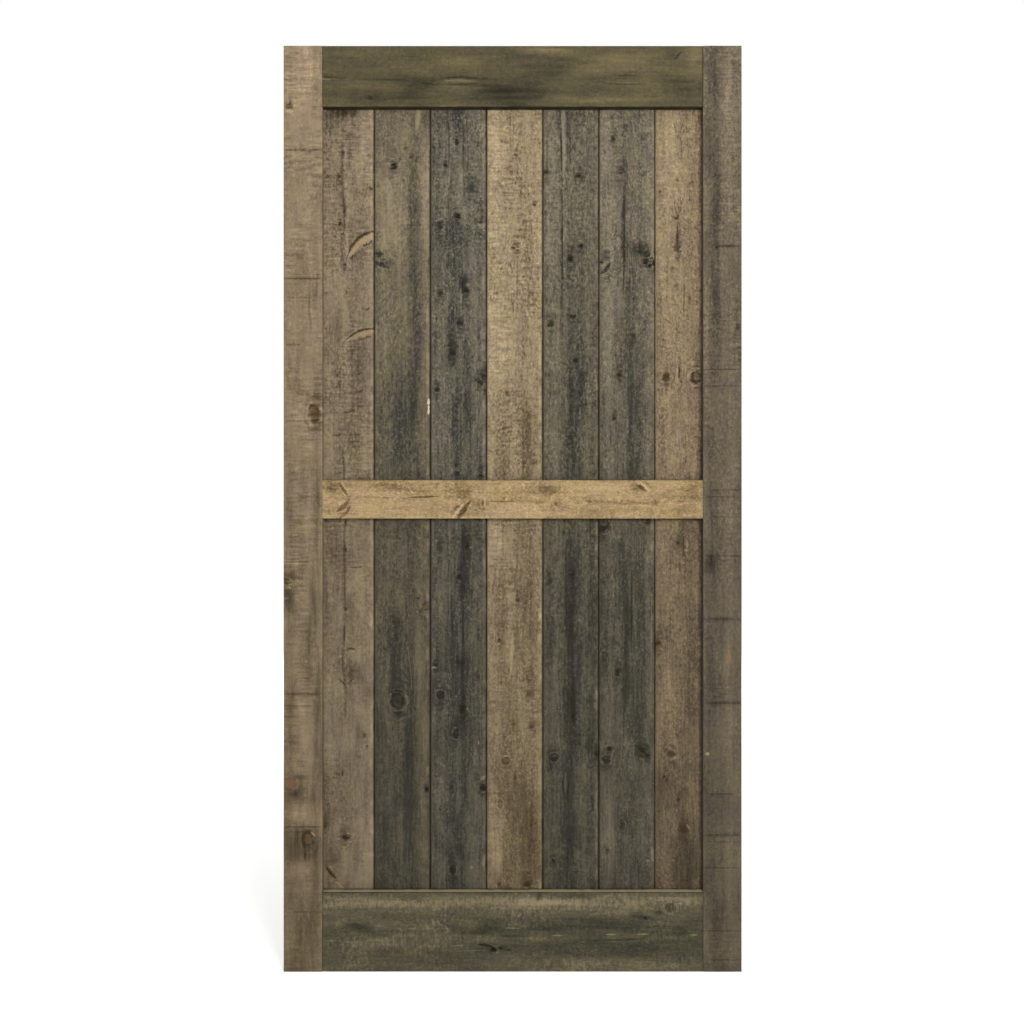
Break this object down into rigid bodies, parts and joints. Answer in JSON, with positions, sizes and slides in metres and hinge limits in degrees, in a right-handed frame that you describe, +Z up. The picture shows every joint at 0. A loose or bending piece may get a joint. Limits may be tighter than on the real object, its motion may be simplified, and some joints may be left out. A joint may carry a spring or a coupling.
{
  "type": "barn door",
  "caption": "Rustic barn door slab of tongue-and-groove planks behind a face frame of stiles and rails, hung to slide or swing across an opening.",
  "frame": {"origin": "middle of the slab's bottom edge, halfway through its thickness", "axes": "+X across the door to the right as seen from the front, -Y out of the front face, +Z up"},
  "size_m": [1.056, 0.038, 2.134],
  "materials": {
    "stile_tan_brown": "rough-sawn pine, tan-brown stain",
    "stile_umber": "rough-sawn pine, grey-umber stain",
    "rail_olive": "rough-sawn pine, olive stain",
    "rail_tan": "rough-sawn pine, pale tan stain",
    "plank_taupe": "rough-sawn pine, taupe stain",
    "plank_grey_olive": "rough-sawn pine, grey-olive stain",
    "plank_charcoal": "rough-sawn pine, charcoal stain",
    "plank_tan": "rough-sawn pine, tan stain",
    "plank_slate": "rough-sawn pine, slate-grey stain",
    "plank_honey": "rough-sawn pine, honey-brown stain",
    "screw_steel": "dark phosphate-coated steel"
  },
  "bodies": {
    "root": {"left_stile": "stile_tan_brown", "right_stile": "stile_umber", "top_rail": "rail_olive", "mid_rail": "rail_tan", "bottom_rail": "rail_olive", "left_edge_plank": "plank_slate", "plank_1": "plank_taupe", "plank_2": "plank_grey_olive", "plank_3": "plank_charcoal", "plank_4": "plank_tan", "plank_5": "plank_slate", "plank_6": "plank_slate", "plank_7": "plank_honey", "right_edge_plank": "plank_taupe", "left_stile_screws": "screw_steel", "right_stile_screws": "screw_steel", "top_rail_screws": "screw_steel", "mid_rail_screws": "screw_steel", "bottom_rail_screws": "screw_steel"}
  },
  "joints": []
}
